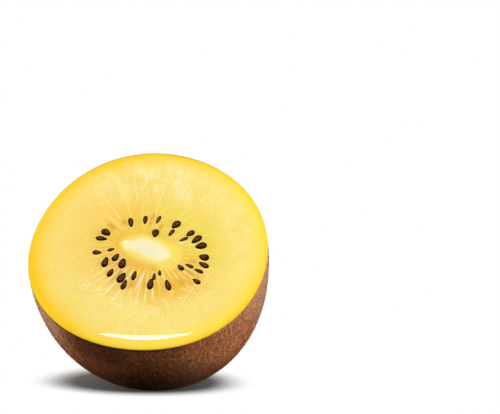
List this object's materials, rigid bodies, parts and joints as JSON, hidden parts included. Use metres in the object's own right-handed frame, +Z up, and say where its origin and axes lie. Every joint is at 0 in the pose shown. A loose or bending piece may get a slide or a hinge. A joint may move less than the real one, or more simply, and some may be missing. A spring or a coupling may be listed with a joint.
{
  "type": "golden kiwi fruit half",
  "caption": "Golden kiwi fruit cut in half, lying on its skin with the cut face up and forward: brown skin, yellow flesh, pale core and a ring of dark seeds.",
  "frame": {"origin": "centre of the small flat on the skin that the half fruit rests on", "axes": "+Z up; the cut face looks towards -Y and up, 48 degrees from level; +X to the right seen from the front"},
  "size_m": [0.0538, 0.0526, 0.0532],
  "materials": {
    "skin": "matte, short fine down",
    "flesh": "wet, slightly translucent",
    "core": "moist, fibrous, pale cream"
  },
  "bodies": {
    "root": {"skin": "skin", "flesh": "flesh", "core": "core"}
  },
  "joints": []
}
